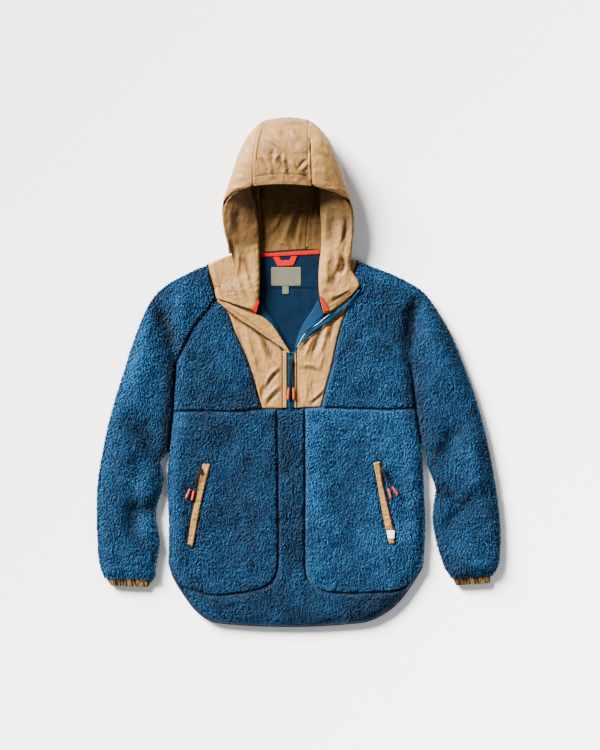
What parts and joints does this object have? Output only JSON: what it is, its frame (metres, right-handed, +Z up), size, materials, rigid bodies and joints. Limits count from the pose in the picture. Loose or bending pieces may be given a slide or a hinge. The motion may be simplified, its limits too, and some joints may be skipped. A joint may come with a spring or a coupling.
{
  "type": "hooded half-zip fleece jacket",
  "caption": "Hooded pullover fleece jacket laid flat: blue pile body and raglan sleeves, tan nylon hood and chest insets, half zip with turned-out collar, zip pockets, curved hem.",
  "frame": {"origin": "on the surface the jacket lies on, under the middle of its bounding box", "axes": "+Z up from the surface, +Y towards the crown of the hood, +X towards the viewer's right when looking down at the front"},
  "size_m": [0.8078, 1.0204, 0.09],
  "materials": {
    "blue_fleece": "sherpa pile, deep blue",
    "tan_nylon": "lightly padded plain nylon",
    "blue_lining": "smooth dark blue lining",
    "coral_tape": "woven coral tape",
    "navy_binding": "stretch binding",
    "zip_tape": "blue zip tape with coil teeth",
    "black_zip": "black coil zip",
    "grey_metal": "dark grey cast metal",
    "dark_cord": "braided cord",
    "coral_tip": "moulded cord end",
    "greige_label": "bare woven label",
    "white_label": "bare woven label"
  },
  "bodies": {
    "jacket": {"back": "blue_fleece", "sleeve_back_left": "blue_fleece", "sleeve_back_right": "blue_fleece", "sleeve_front_left": "blue_fleece", "sleeve_front_right": "blue_fleece", "chest_left": "blue_fleece", "chest_right": "blue_fleece", "pocket_panel_left": "blue_fleece", "pocket_panel_right": "blue_fleece", "front_middle": "blue_fleece", "inset_left": "tan_nylon", "inset_right": "tan_nylon", "zip_strip_left": "tan_nylon", "zip_strip_right": "tan_nylon", "hood_middle": "tan_nylon", "hood_side_left": "tan_nylon", "hood_side_right": "tan_nylon", "collar_left": "tan_nylon", "collar_right": "tan_nylon", "placket_left": "tan_nylon", "cuff_left": "tan_nylon", "cuff_right": "tan_nylon", "pocket_welt_left": "tan_nylon", "pocket_welt_right": "tan_nylon", "lining_back": "blue_lining", "lining_yoke": "blue_lining", "lining_edge_left": "blue_lining", "lining_edge_right": "blue_lining", "neck_tape": "coral_tape", "tape_end_left": "coral_tape", "tape_end_right": "coral_tape", "hanger_loop": "coral_tape", "hem_binding_front": "navy_binding", "hem_binding_back": "navy_binding", "front_zip": "zip_tape", "placket_right": "zip_tape", "pocket_zip_left": "black_zip", "pocket_zip_right": "black_zip", "slider_front": "grey_metal", "slider_pocket_left": "grey_metal", "slider_pocket_right": "grey_metal", "neck_label": "greige_label", "size_label": "greige_label", "pocket_label": "white_label"},
    "front_pull": {"pull_tab_front": "grey_metal", "pull_cord_front": "dark_cord", "cord_end_front_1": "coral_tip", "cord_end_front_2": "coral_tip"},
    "left_pocket_pull": {"pull_tab_pocket_left": "grey_metal", "pull_cord_pocket_left": "dark_cord", "cord_end_pocket_left_1": "coral_tip", "cord_end_pocket_left_2": "coral_tip"},
    "right_pocket_pull": {"pull_tab_pocket_right": "grey_metal", "pull_cord_pocket_right": "dark_cord", "cord_end_pocket_right_1": "coral_tip", "cord_end_pocket_right_2": "coral_tip"}
  },
  "joints": [
    {"name": "front_pull_hinge", "type": "hinge", "parent": "jacket", "child": "front_pull", "pos_m": [-0.0154, 0.021, 0.02], "axis": [-1, 0, 0], "range_deg": [0, 150]},
    {"name": "left_pocket_pull_hinge", "type": "hinge", "parent": "jacket", "child": "left_pocket_pull", "pos_m": [-0.197, -0.198, 0.028], "axis": [-0.8924, 0.4512, 0], "range_deg": [0, 150]},
    {"name": "right_pocket_pull_hinge", "type": "hinge", "parent": "jacket", "child": "right_pocket_pull", "pos_m": [0.168, -0.198, 0.028], "axis": [-0.867, -0.4983, 0], "range_deg": [0, 150]}
  ]
}
